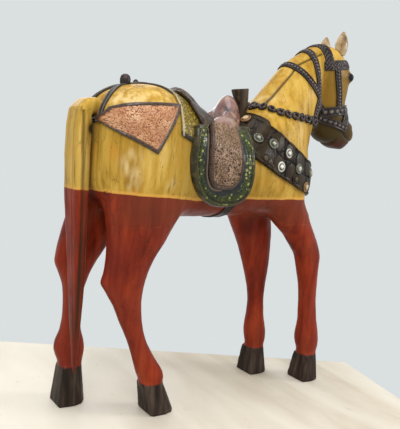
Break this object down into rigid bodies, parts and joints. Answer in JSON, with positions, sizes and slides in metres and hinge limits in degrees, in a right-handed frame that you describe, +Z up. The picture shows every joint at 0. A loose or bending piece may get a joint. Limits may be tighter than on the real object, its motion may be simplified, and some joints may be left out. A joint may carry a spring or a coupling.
{
  "type": "carved wooden horse figurine",
  "caption": "Standing carved wooden horse with painted ochre body, red legs, carved saddle, breast collar and bridle, resting on flat hooves.",
  "frame": {"origin": "on the ground under the middle of the figure's bounding box", "axes": "+X the way the horse faces, +Y its left side, +Z up"},
  "size_m": [0.776, 0.2858, 0.88],
  "materials": {
    "painted_wood": "worn ochre and brick red paint over carved wood, waxed",
    "saddle_brown": "dark brown paint, rubbed",
    "pommel_rose": "polished rose brown paint",
    "cloth_yellow": "painted yellow with a dark flower pattern",
    "flap_green": "painted dark green with small flowers",
    "panel_rose": "painted salmon pink with a dark curling pattern",
    "rump_copper": "painted copper pink with a raised curling pattern",
    "strap_dark": "dark brown paint on carved relief, rubbed",
    "boss_silver_green": "silver and green paint, faceted",
    "bare_wood": "unpainted wood"
  },
  "bodies": {
    "root": {"haunch_block": "painted_wood", "barrel_block": "painted_wood", "chest_block": "painted_wood", "neck_block": "painted_wood", "head_block": "painted_wood", "foreleg_left": "painted_wood", "foreleg_right": "painted_wood", "hindleg_left": "painted_wood", "hindleg_right": "painted_wood", "tail": "painted_wood", "ear_left": "painted_wood", "ear_right": "painted_wood", "saddle_seat": "saddle_brown", "saddle_horn": "saddle_brown", "saddle_pommel": "pommel_rose", "saddle_cloth": "cloth_yellow", "saddle_flap_left": "flap_green", "saddle_flap_right": "flap_green", "girth": "flap_green", "flap_panel_left": "panel_rose", "flap_panel_right": "panel_rose", "rump_panel_left": "rump_copper", "rump_panel_right": "rump_copper", "crupper_knob": "strap_dark", "crupper_stud": "strap_dark", "crupper_strap": "strap_dark", "spine_strap": "strap_dark", "breast_collar": "strap_dark", "neck_strap": "strap_dark", "throat_strap": "strap_dark", "crown_strap": "strap_dark", "brow_band": "strap_dark", "cheek_straps": "strap_dark", "nose_band": "strap_dark", "bit_straps": "strap_dark", "rein_chain_left": "strap_dark", "rein_chain_right": "strap_dark", "collar_bosses": "boss_silver_green", "rear_dowels": "bare_wood", "front_dowels": "bare_wood", "neck_dowel": "bare_wood", "head_dowel": "bare_wood", "leg_dowels": "bare_wood", "tail_peg": "bare_wood", "ear_pegs": "bare_wood", "saddle_pegs": "bare_wood"}
  },
  "joints": []
}
